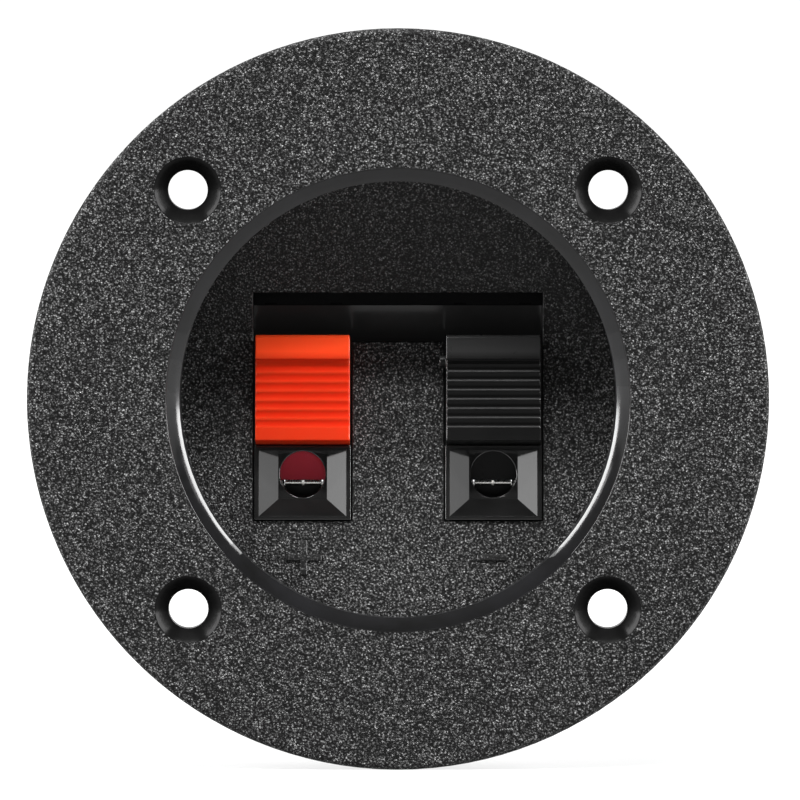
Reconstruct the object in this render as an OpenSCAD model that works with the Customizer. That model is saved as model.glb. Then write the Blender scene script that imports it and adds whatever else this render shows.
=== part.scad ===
// Round recessed speaker terminal with two push terminals.
// Frame: X to the right, Z up, the front faces -Y. The flange's rear face, which lies on the panel,
// is the plane y = 0, and the origin is the centre of its screw circle. Sizes are millimetres.

/* [Flange] */
// Diameter of the flange
flange_d = 75; // [72:0.5:90]
// Thickness of the flange
flange_t = 3; // [2.5:0.25:4]
// Rounding of the flange's front edge
flange_edge_r = 0.6; // [0.2:0.1:1.2]
// Diameter of the circle of screw holes
screw_pcd = 60; // [58:0.5:62]
// Diameter of the screw holes
screw_hole_d = 4; // [3:0.1:4.6]
// Outer diameter of the countersinks
countersink_d = 6.8; // [5.6:0.1:7.6]

/* [Dish] */
// Inner diameter of the dish
dish_d = 44.2; // [43.6:0.2:47]
// Width of the rounded rim of the dish
rim_w = 1.3; // [0.8:0.1:1.4]
// Slope of the rim at its outer edge
rim_lead = 15; // [8:1:20]
// Slope of the rim at its inner edge
rim_slope = 45; // [36:1:48]
// Depth of the fine step between the flange face and the rim
rim_step = 0.15; // [0.05:0.05:0.3]
// Wall thickness of the dish
shell_t = 2; // [1.5:0.1:2.5]
// Tilt of the lower floor
floor_tilt = 14; // [11:0.5:15]
// Tilt of the upper wall
wall_tilt = 25.5; // [22:0.5:28]
// Height of the crease between floor and upper wall
crease_z = 6.2; // [5.5:0.1:7]
// Depth of the crease below the flange face
crease_depth = 9; // [8.5:0.25:11]

/* [Buttons] */
// Distance between the two poles
pole_pitch = 19.4; // [17:0.2:21]
// Width of a button
button_w = 9.6; // [8:0.1:10.4]
// Length of a button along the floor
button_len = 10.9; // [10:0.1:12]
// Distance from the crease down to the top of a resting button
button_drop = 0.5; // [0.3:0.1:1]
// Height of the ribbed face above the floor
rib_proud = 2.3; // [1.8:0.1:3]
// Extra height of the smooth shoulder above the ribs
shoulder_rise = 0.4; // [0.1:0.1:0.8]
// Length of the smooth shoulder
shoulder_len = 2.6; // [2:0.1:3.2]
// Rounding of the shoulder's upper edge
shoulder_r = 0.5; // [0.2:0.1:0.8]
// Number of grooves between the ribs
groove_count = 7; // [5:1:7]
// Distance from rib to rib
rib_pitch = 0.955; // [0.7:0.005:1]
// Width of a rib's crest
rib_crest = 0.15; // [0.1:0.05:0.3]
// Depth of a groove
groove_depth = 0.12; // [0.08:0.02:0.2]
// Gap between a button and the window's side
button_gap = 0.25; // [0.15:0.05:0.4]
// Travel of a button up the slope
travel = 3.2; // [2.4:0.1:3.4]
// Width of the shank behind the face
shank_w = 5.2; // [4.8:0.1:5.6]
// Length of the shank along the floor
shank_len = 3.2; // [2.6:0.1:3.6]
// Thickness of the clamping foot
foot_t = 1.6; // [1.2:0.1:2]
// Radius of the moulding gate mark on the black button
gate_r = 0.6; // [0.3:0.1:0.8]
// Length of the moulding gate mark
gate_len = 0.7; // [0.3:0.1:0.9]

/* [Wire entries] */
// Diameter of the wire hole
wire_hole_d = 4.66; // [4:0.02:4.8]
// Distance from the frame's upper edge down to the wire hole's axis
wire_drop = 3; // [2.9:0.05:3.2]
// Width of the funnel's mouth
funnel_w = 9; // [8:0.1:9.2]
// Depth of the funnel
funnel_depth = 1.2; // [1:0.1:1.6]
// Wall between the funnel's flat bottom and the chamber, at the hole's axis
wire_wall = 3.75; // [3.4:0.05:4]
// Height of the funnel's frame above the floor
frame_proud = 0.3; // [0.1:0.1:0.6]
// Width of the frame below the funnel
frame_sill = 0.3; // [0.2:0.05:0.6]
// Length of the funnel's frame along Z
frame_h = 7.45; // [7.3:0.05:8]

/* [Terminal block] */
// Thickness of the block's plates
plate_t = 1.5; // [1.2:0.1:1.8]
// Thickness of the block's cell walls
cell_wall = 1.2; // [1:0.1:1.5]
// Depth of the button tracks below the floor
track_sink = 0.5; // [0.3:0.1:0.8]
// Height of the top edge of the block's upper face above the crease
roof_rise = 2.85; // [2.5:0.05:3.2]
// Distance from the upper wall's front to the block's upper face
roof_offset = 2.85; // [2.7:0.05:3.2]
// Height of the slot's upper edge above the crease
slot_rise = 4.35; // [4:0.05:5]
// Depth of the slot's lower edge below the crease, between the buttons
slot_drop = 0.8; // [0.6:0.05:1.1]

/* [Contacts] */
// Width of a contact strip
contact_w = 3.7; // [3:0.1:4.4]
// Thickness of a contact strip
contact_t = 0.4; // [0.3:0.05:0.6]
// Distance from the hole's axis down to the strip
contact_drop = 1; // [0.8:0.05:1.3]
// Length of the solder tab behind the cover
tab_len = 7; // [5:0.5:10]
// Diameter of the hole in the solder tab
tab_hole_d = 1.8; // [1.2:0.1:2]
// Width of the slit in the strip's front end
slit_w = 0.25; // [0.15:0.05:0.4]
// Length of the slit
slit_len = 1.5; // [1:0.1:2]
// Length of the strip's bent locating leg
leg_len = 1.2; // [0.8:0.1:1.6]

/* [Springs] */
// Outer diameter of a return spring
spring_d = 3.6; // [3:0.1:3.8]
// Wire diameter of a return spring
spring_wire = 0.4; // [0.3:0.05:0.45]
// Turns of a return spring
spring_turns = 6; // [5:0.5:6]

/* [Rear] */
// Wall of the rear skirt
skirt_wall = 1.5; // [1.2:0.1:1.8]
// Corner radius of the rear skirt
skirt_r = 1.6; // [1:0.1:2]
// Thickness of the rear cover
cover_t = 2; // [1.5:0.1:3]
// Diameter of the screw bosses
boss_d = 4.8; // [4.4:0.1:5]
// Distance between the bosses of one side
boss_pitch = 12; // [9:0.5:13]
// Shank diameter of the cover screws
screw_d = 2.2; // [1.8:0.1:2.4]
// Length of the cover screws under the head
screw_len = 6.5; // [5:0.5:7]
// Head diameter of the cover screws
screw_head_d = 4.2; // [3.6:0.1:4.6]
// Head height of the cover screws
screw_head_h = 1.5; // [1.2:0.1:1.8]

/* [Fits] */
// Gap between pieces that slide on or along each other
slide_gap = 0.15; // [0.1:0.01:0.2]
// Gap around a piece that is set into another
seat_gap = 0.15; // [0.1:0.01:0.2]

/* [Hidden] */
$fn = 72;

// Overshoot of a cut beyond the face that it opens
cut = 1;
// Half height of the profiles that the round dish trims
reach = flange_d / 2;
pole_x = pole_pitch / 2;
front_y = -flange_t;
dish_r = dish_d / 2;
collar_r = dish_r + shell_t;
crease_y = crease_depth - flange_t;
vee = floor_tilt + wall_tilt;

// A point at n below the floor's front face and u up the slope from the crease, as [y, z]
function slope_pt(n, u) = [
    crease_y + u * sin(floor_tilt) + n * cos(floor_tilt),
    crease_z + u * cos(floor_tilt) - n * sin(floor_tilt)
];
// Depth y of the plane n below the floor, and of the plane n behind the upper wall, at height z
function floor_y(z, n) = crease_y + (z - crease_z) * tan(floor_tilt) + n / cos(floor_tilt);
function wall_y(z, n) = crease_y - (z - crease_z) * tan(wall_tilt) + n / cos(wall_tilt);
// How far up the slope height z lies on the plane n below the floor
function slope_u(z, n) = (z - crease_z + n * sin(floor_tilt)) / cos(floor_tilt);
// Where the plane n behind the upper wall crosses the line u across the floor
function roof_n(n, u) = (n - u * sin(vee)) / cos(vee);
// The fold line of the two planes that lie n behind the dish's faces
function fold_pt(n) = slope_pt(n, slope_u(fold_z(n), n));
function fold_z(n) =
    crease_z + n * (1 / cos(wall_tilt) - 1 / cos(floor_tilt)) / (tan(wall_tilt) + tan(floor_tilt));

// Windows, tracks and frames
window_w = button_w + 2 * button_gap;
slot_w = pole_pitch + window_w;
pad_w = window_w - 2 * seat_gap;
slot_top_z = crease_z + slot_rise;
slot_bottom_z = crease_z - slot_drop;
button_top_u = -button_drop;
button_bottom_u = button_top_u - button_len;
slab_n = track_sink - slide_gap;
// Plain heel below the grooves, and the plain band above them, which takes up what they leave
heel_len = 1.25;
band_len = button_len - shoulder_len - heel_len - groove_count * rib_pitch;
frame_top_u = button_bottom_u - slide_gap;
frame_top_z = slope_pt(-frame_proud, frame_top_u)[1];
frame_bottom_z = frame_top_z - frame_h;
window_bottom_z = frame_bottom_z - seat_gap;

// Block plates
back_n = shell_t + plate_t;
pad_root_n = shell_t + plate_t / 2;
base_top_u = button_top_u - slide_gap;
knee_u = base_top_u - plate_t;
roof_back = roof_offset + plate_t;
roof_top_z = crease_z + roof_rise;
block_rim = 0.8;
block_bottom_z = frame_bottom_z - block_rim;

// Funnel and wire hole, with the funnel's flat bottom parallel to the floor
wire_r = wire_hole_d / 2;
wire_z = frame_top_z - wire_drop;
funnel_n = funnel_depth - frame_proud;
funnel_land = 0.15;
funnel_half = wire_r + funnel_land;
wire_u = slope_u(wire_z, funnel_n);
wire_wall_y = slope_pt(funnel_n, wire_u)[0] + wire_wall;

// Shank, foot and spring of a button
shank_inset = 0.8;
shank_bottom_u = button_bottom_u + shank_inset;
shank_top_u = shank_bottom_u + shank_len;
seat_rise = 1.6;
seat_u = shank_bottom_u + seat_rise;
seat_t = 1.2;
foot_gap = 0.3;
foot_y = wire_wall_y + foot_gap;
contact_top_z = wire_z - contact_drop;
contact_z = contact_top_z - contact_t;
foot_z = contact_top_z + slide_gap;
spring_gap = 0.2;
spring_r = spring_d / 2;
spring_n = back_n + spring_gap + spring_r;
spring_len = knee_u - seat_u;
spring_sides = 8;
spring_steps = 20;
spigot_d = spring_d - 2 * spring_wire - 2 * spring_gap;
spigot_h = 1;
shank_back_n = spring_n + spring_r;
slot_hw = shank_w / 2 + slide_gap;

// Rear skirt, cover and screws
rear_room = 0.4;
rear_y = slope_pt(roof_n(roof_back, knee_u), knee_u)[0] + rear_room;
skirt_margin = 0.4;
skirt_side = 1.3;
skirt_hw = slot_w / 2 + skirt_side;
skirt_z0 = block_bottom_z - seat_gap;
skirt_z1 = slot_top_z + skirt_margin;
boss_x = skirt_hw + skirt_wall + boss_d / 2 - skirt_margin;
pilot_gap = 0.05;
pilot_d = screw_d + 2 * pilot_gap;
cover_hole_gap = 0.2;
cover_hole_d = screw_d + 2 * cover_hole_gap;
boss_points = [for (sx = [-1, 1], sz = [-1, 1]) [sx * boss_x, sz * boss_pitch / 2]];
cover_y = rear_y + cover_t;
ledge_side = 0.8;
ledge_w = contact_w + 2 * ledge_side;
ledge_h = 2;
ledge_root = wire_wall / 2;
leg_inset = 2.5;
leg_y = rear_y - leg_inset;

// Turns a profile drawn as [y, z] into a bar of width w along X
module along_x(w) {
    rotate([90, 0, 90])
        linear_extrude(w, center = true)
            children();
}

// Turns a profile drawn as [x, z] into a plate from depth y0 to depth y1
module along_y(y0, y1) {
    translate([0, y1, 0])
        rotate([90, 0, 0])
            linear_extrude(y1 - y0)
                children();
}

// A round bar along Y, centred at [x, z]
module rod_y(x, z, r, y0, y1) {
    translate([x, y1, z])
        rotate([90, 0, 0])
            cylinder(h = y1 - y0, r = r);
}

// The floor's own frame: Y runs into the floor, Z up the slope, from the crease
module on_floor() {
    translate([0, crease_y, crease_z])
        rotate([-floor_tilt, 0, 0])
            children();
}

// Outer outline of the skirt and the cover, a rectangle with round corners
module skirt_outline() {
    half_w = skirt_hw + skirt_wall;
    z0 = skirt_z0 - skirt_wall;
    z1 = skirt_z1 + skirt_wall;
    translate([-half_w + skirt_r, z0])
        square([2 * (half_w - skirt_r), z1 - z0]);
    translate([-half_w, z0 + skirt_r])
        square([2 * half_w, z1 - z0 - 2 * skirt_r]);
    for (x = [-half_w + skirt_r, half_w - skirt_r], z = [z0 + skirt_r, z1 - skirt_r])
        translate([x, z])
            circle(skirt_r);
}

// Profile of all that lies in front of the planes n behind the dish's faces
module front_of_vee(n) {
    polygon([
        [front_y - cut, -reach],
        [floor_y(-reach, n), -reach],
        fold_pt(n),
        [wall_y(reach, n), reach],
        [front_y - cut, reach]
    ]);
}

// Profile of all that lies behind those planes, up to the rear
module behind_vee(n) {
    polygon([
        [floor_y(-reach, n), -reach],
        fold_pt(n),
        [wall_y(reach, n), reach],
        [rear_y, reach],
        [rear_y, -reach]
    ]);
}

// Flange disc with its rounded front edge
module flange_disc() {
    flange_r = flange_d / 2;
    rotate([90, 0, 0])
        rotate_extrude() {
            square([flange_r - flange_edge_r, flange_t]);
            square([flange_r, flange_t - flange_edge_r]);
            translate([flange_r - flange_edge_r, flange_t - flange_edge_r])
                intersection() {
                    circle(flange_edge_r);
                    square(flange_edge_r);
                }
        }
}

// What the rounded rim of the dish takes away from the flange: all above an arc between its two slopes
module rim_cut() {
    lip = 0.2;
    arc_r = rim_w / (sin(rim_slope) - sin(rim_lead));
    depth = arc_r * (cos(rim_lead) - cos(rim_slope)) + 2 * lip;
    rotate([90, 0, 0])
        rotate_extrude()
            translate([dish_r, flange_t - rim_step])
                difference() {
                    translate([-lip, -depth])
                        square([rim_w + lip, depth + rim_step + cut]);
                    translate([rim_w + arc_r * sin(rim_lead), -arc_r * cos(rim_lead)])
                        circle(arc_r);
                }
}

// One countersunk hole of the flange, at [x, z]
module screw_hole(x, z) {
    sink_h = (countersink_d - screw_hole_d) / 2;
    rod_y(x, z, screw_hole_d / 2, front_y - cut, cut);
    translate([x, front_y, z])
        rotate([-90, 0, 0])
            cylinder(h = sink_h, d1 = countersink_d, d2 = screw_hole_d);
}

// Grained moulding: flange, dish with the V-shaped floor, and the skirt that holds the block
module cup() {
    color([0.09, 0.09, 0.09]) {
        difference() {
            union() {
                flange_disc();
                intersection() {
                    rod_y(0, 0, collar_r, front_y + flange_edge_r, rear_y);
                    along_x(flange_d)
                        front_of_vee(shell_t);
                }
            }
            intersection() {
                rod_y(0, 0, dish_r, front_y - cut, rear_y);
                along_x(flange_d)
                    front_of_vee(0);
            }
            rim_cut();
            for (a = [45:90:315])
                screw_hole(screw_pcd / 2 * cos(a), screw_pcd / 2 * sin(a));
            for (s = [-1, 1])
                along_y(front_y, rear_y)
                    translate([s * pole_x - window_w / 2, window_bottom_z])
                        square([window_w, slot_bottom_z - window_bottom_z + cut]);
            along_y(front_y, rear_y)
                translate([-slot_w / 2, slot_bottom_z])
                    square([slot_w, slot_top_z - slot_bottom_z]);
            boss_pilots();
        }
        rear_skirt();
    }
}

// Blind holes in the bosses for the cover screws
module boss_pilots() {
    for (p = boss_points)
        rod_y(p[0], p[1], pilot_d / 2, cover_y - screw_len - slide_gap, rear_y + cut);
}

// Rectangular skirt with four screw bosses behind the dish
module rear_skirt() {
    difference() {
        intersection() {
            union() {
                along_y(front_y, rear_y)
                    skirt_outline();
                for (p = boss_points)
                    rod_y(p[0], p[1], boss_d / 2, front_y, rear_y);
            }
            along_x(flange_d)
                behind_vee(shell_t / 2);
        }
        along_y(front_y - cut, rear_y + cut)
            translate([-skirt_hw, skirt_z0])
                square([2 * skirt_hw, skirt_z1 - skirt_z0]);
        boss_pilots();
    }
}

// Front outline of the block's bent plate, from the lower end up to the roof's edge
function block_front() = [
    [floor_y(block_bottom_z, shell_t), block_bottom_z],
    slope_pt(shell_t, base_top_u),
    slope_pt(roof_n(roof_offset, base_top_u), base_top_u),
    [wall_y(roof_top_z, roof_offset), roof_top_z]
];

// Rear outline of that plate, from the roof's edge back down
function block_back() = [
    [wall_y(roof_top_z, roof_back), roof_top_z],
    slope_pt(roof_n(roof_back, knee_u), knee_u),
    slope_pt(back_n, knee_u),
    [floor_y(block_bottom_z, back_n), block_bottom_z]
];

// Funnel of one wire entry: a level top and three slanted sides, down to a flat bottom
module funnel_cut() {
    lead = cut + frame_proud;
    mouth_n = -lead;
    slope = (funnel_w / 2 - funnel_half) / funnel_depth;
    mouth_half = funnel_w / 2 + slope * cut;
    top_u = slope_u(wire_z + funnel_half, funnel_n);
    bottom_u = slope_u(wire_z - funnel_half, funnel_n);
    sill_u = slope_u(frame_bottom_z + frame_sill, -frame_proud);
    mouth_top_u = top_u - (funnel_n + lead) * tan(floor_tilt);
    mouth_bottom_u = sill_u - (bottom_u - sill_u) / funnel_depth * cut;
    on_floor()
        intersection() {
            along_x(2 * mouth_half)
                polygon([
                    [mouth_n, mouth_top_u],
                    [funnel_n, top_u],
                    [funnel_n, bottom_u],
                    [mouth_n, mouth_bottom_u]
                ]);
            translate([0, 0, mouth_bottom_u])
                linear_extrude(mouth_top_u + lead - mouth_bottom_u)
                    polygon([
                        [-mouth_half, mouth_n],
                        [mouth_half, mouth_n],
                        [funnel_half, funnel_n],
                        [-funnel_half, funnel_n]
                    ]);
        }
}

// What stands in one window: the funnel's frame, the button's track and the walls behind them
module pole_block() {
    along_x(pad_w)
        polygon([
            [floor_y(frame_bottom_z, -frame_proud), frame_bottom_z],
            slope_pt(-frame_proud, frame_top_u),
            slope_pt(track_sink, frame_top_u),
            slope_pt(track_sink, base_top_u),
            slope_pt(pad_root_n, base_top_u),
            slope_pt(pad_root_n, frame_top_u),
            [wire_wall_y, wire_z + wire_r + block_rim],
            [wire_wall_y, frame_bottom_z]
        ]);
    for (s = [-1, 1])
        translate([s * (slot_hw + cell_wall / 2), 0, 0])
            along_x(cell_wall)
                polygon(concat(block_front(), [[rear_y, roof_top_z], [rear_y, block_bottom_z]]));
    translate([-ledge_w / 2, wire_wall_y - ledge_root, contact_z - ledge_h])
        cube([ledge_w, rear_y - wire_wall_y + ledge_root, ledge_h]);
}

// What is cut out of one pole: funnel, wire hole, slot of the shank and groove of the contact's leg
module pole_cuts() {
    leg_gap = seat_gap / 2;
    funnel_cut();
    rod_y(0, wire_z, wire_r, slope_pt(-frame_proud, wire_u)[0], wire_wall_y + foot_gap);
    on_floor()
        translate([-slot_hw, 0, shank_bottom_u - slide_gap])
            cube([2 * slot_hw, back_n + cut, shank_len + travel + 2 * slide_gap]);
    translate([-contact_w / 2 - leg_gap, leg_y - leg_gap, contact_z - leg_len - leg_gap])
        cube([contact_w + 2 * leg_gap, contact_t + 2 * leg_gap, leg_len + cut]);
}

// Glossy insert behind the dish: bent plate, funnel frames, tracks and the cells of the two poles
module terminal_block() {
    color([0.05, 0.05, 0.05])
        difference() {
            union() {
                along_x(2 * (skirt_hw - seat_gap))
                    polygon(concat(block_front(), block_back()));
                for (s = [-1, 1])
                    translate([s * pole_x, 0, 0])
                        pole_block();
            }
            for (s = [-1, 1])
                translate([s * pole_x, 0, 0])
                    pole_cuts();
        }
}

// Outline of a button's face and slab, as [n, u] in the floor's frame
function slab_outline() =
    let (
        top_n = -(rib_proud + shoulder_rise),
        ribs_u = button_top_u - shoulder_len,
        round_step = 15
    )
    concat(
        [[slab_n, button_bottom_u], [slab_n, button_top_u]],
        [for (a = [90:round_step:180])
            [top_n + shoulder_r * (1 + cos(a)), button_top_u - shoulder_r * (1 - sin(a))]],
        [[top_n, ribs_u], [-rib_proud, ribs_u], [-rib_proud, button_bottom_u]]
    );

// Round grooves that leave the ribs of a button's face between them
module rib_grooves() {
    half_w = (rib_pitch - rib_crest) / 2;
    groove_r = (half_w * half_w + groove_depth * groove_depth) / (2 * groove_depth);
    first_u = button_top_u - shoulder_len - band_len - rib_pitch / 2;
    for (i = [0:groove_count - 1])
        translate([0, groove_depth - rib_proud - groove_r, first_u - i * rib_pitch])
            rotate([0, 90, 0])
                cylinder(h = button_w + 2 * cut, r = groove_r, center = true);
}

// Shank that passes through the track, with the spring's seat and the clamping foot
module button_shank() {
    foot_top_n = (foot_y - crease_y - shank_bottom_u * sin(floor_tilt)) / cos(floor_tilt);
    along_x(shank_w)
        polygon([
            slope_pt(0, shank_bottom_u),
            slope_pt(0, shank_top_u),
            slope_pt(back_n, shank_top_u),
            slope_pt(back_n, seat_u),
            slope_pt(shank_back_n, seat_u),
            slope_pt(shank_back_n, seat_u - seat_t),
            [foot_y + foot_t, foot_z],
            [foot_y, foot_z],
            slope_pt(foot_top_n, shank_bottom_u)
        ]);
    on_floor()
        translate([0, spring_n, seat_u - seat_t / 2])
            cylinder(h = spigot_h + seat_t / 2, d = spigot_d);
}

// Sliding release button with a ribbed face
module release_button() {
    on_floor()
        difference() {
            along_x(button_w)
                polygon(slab_outline());
            rib_grooves();
        }
    button_shank();
}

// Red button of the positive pole
module release_button_red() {
    color([0.9, 0.16, 0.05])
        translate([-pole_x, 0, 0])
            release_button();
}

// Black button of the negative pole, with its gate mark on the inner side
module release_button_black() {
    color([0.07, 0.07, 0.07])
        translate([pole_x, 0, 0]) {
            release_button();
            on_floor()
                translate([-button_w / 2 - gate_len, -rib_proud / 2 - slide_gap, button_top_u - shoulder_len])
                    rotate([0, 90, 0])
                        cylinder(h = gate_len + slide_gap, r = gate_r);
        }
}

// Height of a spring's wire after a number of turns, with one closed turn at each end
function coil_z(turn) =
    let (
        end_z = spring_wire / 2,
        pitch = (spring_len - 3 * spring_wire) / (spring_turns - 2)
    )
    turn < 1
        ? end_z + spring_wire * turn
        : turn > spring_turns - 1
            ? spring_len - end_z - spring_wire * (spring_turns - turn)
            : end_z + spring_wire + pitch * (turn - 1);

// Coil spring on its seat, as a round wire swept along the turns
module return_spring() {
    coil_r = spring_r - spring_wire / 2;
    rings = spring_turns * spring_steps;
    wire_r = spring_wire / 2;
    points = [for (i = [0:rings], k = [0:spring_sides - 1])
        let (
            a = 360 * i / spring_steps,
            b = 360 * k / spring_sides,
            r = coil_r + wire_r * cos(b)
        )
        [r * cos(a), r * sin(a), coil_z(i / spring_steps) + wire_r * sin(b)]];
    sides = [for (i = [0:rings - 1], k = [0:spring_sides - 1])
        let (
            a = i * spring_sides,
            b = a + spring_sides,
            next = (k + 1) % spring_sides
        )
        [a + k, b + k, b + next, a + next]];
    start = [for (k = [0:spring_sides - 1]) k];
    end = [for (k = [spring_sides - 1:-1:0]) rings * spring_sides + k];
    on_floor()
        translate([0, spring_n, seat_u])
            polyhedron(points = points, faces = concat(sides, [start, end]), convexity = spring_turns);
}

// Spring of the red button
module return_spring_red() {
    color([0.72, 0.73, 0.75])
        translate([-pole_x, 0, 0])
            return_spring();
}

// Spring of the black button
module return_spring_black() {
    color([0.72, 0.73, 0.75])
        translate([pole_x, 0, 0])
            return_spring();
}

// Plated strip: slit front end under the foot, bent leg in the block, solder tab behind the cover
module contact() {
    tab_r = contact_w / 2;
    tab_y = cover_y + tab_len - tab_r;
    difference() {
        union() {
            translate([-tab_r, foot_y, contact_z])
                cube([contact_w, tab_y - foot_y, contact_t]);
            translate([0, tab_y, contact_z])
                cylinder(h = contact_t, r = tab_r);
            translate([-tab_r, leg_y, contact_z - leg_len])
                cube([contact_w, contact_t, leg_len + contact_t]);
        }
        translate([0, tab_y, contact_z - cut])
            cylinder(h = contact_t + 2 * cut, d = tab_hole_d);
        translate([-slit_w / 2, foot_y - cut, contact_z - cut])
            cube([slit_w, slit_len + cut, contact_t + 2 * cut]);
    }
}

// Contact of the positive pole
module contact_red() {
    color([0.86, 0.86, 0.84])
        translate([-pole_x, 0, 0])
            contact();
}

// Contact of the negative pole
module contact_black() {
    color([0.86, 0.86, 0.84])
        translate([pole_x, 0, 0])
            contact();
}

// Flat cover behind the skirt, with lugs for the screws and slots for the solder tabs
module rear_cover() {
    color([0.08, 0.08, 0.08])
        difference() {
            along_y(rear_y, cover_y) {
                skirt_outline();
                for (p = boss_points)
                    translate(p)
                        circle(d = boss_d);
            }
            for (p = boss_points)
                rod_y(p[0], p[1], cover_hole_d / 2, rear_y - cut, cover_y + cut);
            for (s = [-1, 1])
                translate([s * pole_x - contact_w / 2 - seat_gap, rear_y - cut, contact_z - seat_gap])
                    cube([contact_w + 2 * seat_gap, cover_t + 2 * cut, contact_t + 2 * seat_gap]);
        }
}

// One pan-head screw with a cross recess, at [x, z]
module cover_screw(x, z) {
    cross_l = 2.4;
    cross_w = 0.6;
    cross_depth = 0.9;
    dome_r = screw_head_h / 2;
    translate([x, cover_y, z])
        rotate([-90, 0, 0])
            difference() {
                union() {
                    rotate_extrude() {
                        square([screw_head_d / 2 - dome_r, screw_head_h]);
                        square([screw_head_d / 2, screw_head_h - dome_r]);
                        translate([screw_head_d / 2 - dome_r, screw_head_h - dome_r])
                            intersection() {
                                circle(dome_r);
                                square(dome_r);
                            }
                    }
                    translate([0, 0, -screw_len])
                        cylinder(h = screw_len + dome_r, d = screw_d);
                }
                for (a = [0, 90])
                    rotate([0, 0, a])
                        translate([-cross_l / 2, -cross_w / 2, screw_head_h - cross_depth])
                            cube([cross_l, cross_w, cross_depth + cut]);
            }
}

// Four screws that hold the cover and the block to the cup
module cover_screws() {
    color([0.62, 0.63, 0.65])
        for (p = boss_points)
            cover_screw(p[0], p[1]);
}

cup();
terminal_block();
release_button_red();
release_button_black();
return_spring_red();
return_spring_black();
contact_red();
contact_black();
rear_cover();
cover_screws();
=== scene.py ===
import math
from collections import Counter

import bmesh
import bpy
from mathutils import Matrix, Vector


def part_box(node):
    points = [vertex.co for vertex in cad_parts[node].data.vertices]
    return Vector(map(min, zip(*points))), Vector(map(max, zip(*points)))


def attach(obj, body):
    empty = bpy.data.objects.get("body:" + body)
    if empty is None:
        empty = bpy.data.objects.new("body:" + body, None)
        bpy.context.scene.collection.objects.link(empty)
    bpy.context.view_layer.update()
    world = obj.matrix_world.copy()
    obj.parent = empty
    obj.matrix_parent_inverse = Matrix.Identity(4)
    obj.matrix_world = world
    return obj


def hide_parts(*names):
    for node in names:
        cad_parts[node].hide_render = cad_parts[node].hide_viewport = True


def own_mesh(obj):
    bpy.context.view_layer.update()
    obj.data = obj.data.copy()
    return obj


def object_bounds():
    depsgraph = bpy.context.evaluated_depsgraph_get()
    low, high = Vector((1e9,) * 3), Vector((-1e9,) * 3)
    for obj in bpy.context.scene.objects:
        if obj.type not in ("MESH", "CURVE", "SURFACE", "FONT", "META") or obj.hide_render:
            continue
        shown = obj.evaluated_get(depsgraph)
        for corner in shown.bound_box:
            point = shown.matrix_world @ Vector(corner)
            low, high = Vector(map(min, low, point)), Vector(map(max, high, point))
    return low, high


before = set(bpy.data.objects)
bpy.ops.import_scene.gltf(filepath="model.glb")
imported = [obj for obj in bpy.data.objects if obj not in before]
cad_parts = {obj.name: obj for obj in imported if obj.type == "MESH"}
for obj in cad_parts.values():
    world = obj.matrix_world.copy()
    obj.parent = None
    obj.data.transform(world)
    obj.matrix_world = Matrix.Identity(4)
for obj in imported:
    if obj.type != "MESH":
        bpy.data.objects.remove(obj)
cad_low, cad_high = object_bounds()

# Cup: flange, dish and rear skirt in one black plastic moulding, open at the slot and the two windows.
# The mould is spark eroded on the flange and the dish, which leaves a grain there, and smooth
# at the rim, the countersinks and the rear. The grain's sparkle is partly painted glints in its colour. The edges
# that show have the small round of a worn mould.
MM = 0.001
CUP_EDGE = 0.12 * MM
RIM_INNER_R = 22.1 * MM
RIM_OUTER_R = 23.4 * MM
RIM_BACK_Y = -2.05 * MM
DISH_MIDDLE_R = RIM_INNER_R * 0.9
FLANGE_Y = -3.0 * MM
PANEL_Y = 0.0
COUNTERSINK_X = 30 * MM * math.cos(math.radians(45))
COUNTERSINK_R = 3.5 * MM
COUNTERSINK_MOUTH_R = 3.4 * MM
CREASE_Y = 6.0 * MM
CREASE_Z = 6.2 * MM
CREASE_BACK_Y = CREASE_Y + 0.1 * MM
WALL_LOW = CREASE_Z - 1.0 * MM
GRAINS = 4800
GRAIN_RELIEF = 0.14 * MM
GLINT_RELIEF = 0.04 * MM
SMEARS = 160
SMEAR_RELIEF = 0.003 * MM
# Heights in millimetres down the rim, each with the polish in percent of the faces above it.
RIM_POLISH = ((7.0, 24), (4.0, 30), (1.0, 36), (-15.0, 42), (-15.5, 24), (-16.0, 10), (-99.0, 0))

NEAR = 0.05 * MM
MERGE = 0.002 * MM
ON_PLANE = 0.001 * MM
PAIR_FLAT = math.radians(0.3)
PAIR_SKEW = math.radians(170)
SHARP = math.radians(28)
SMOOTH = math.radians(26)


def solid_copy(node, name):
    """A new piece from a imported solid, with its corners merged and its flat triangles paired."""
    bpy.ops.object.select_all(action="DESELECT")
    piece = bpy.data.objects.new(name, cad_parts[node].data.copy())
    bpy.context.scene.collection.objects.link(piece)
    piece.data.materials.clear()
    bpy.context.view_layer.objects.active = piece
    piece.select_set(True)
    bpy.ops.mesh.customdata_custom_splitnormals_clear()
    bpy.ops.object.mode_set(mode="EDIT")
    bpy.ops.mesh.select_all(action="SELECT")
    bpy.ops.mesh.remove_doubles(threshold=MERGE)
    bpy.ops.mesh.tris_convert_to_quads(face_threshold=PAIR_FLAT, shape_threshold=PAIR_SKEW)
    bpy.ops.object.mode_set(mode="OBJECT")
    return piece


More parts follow.
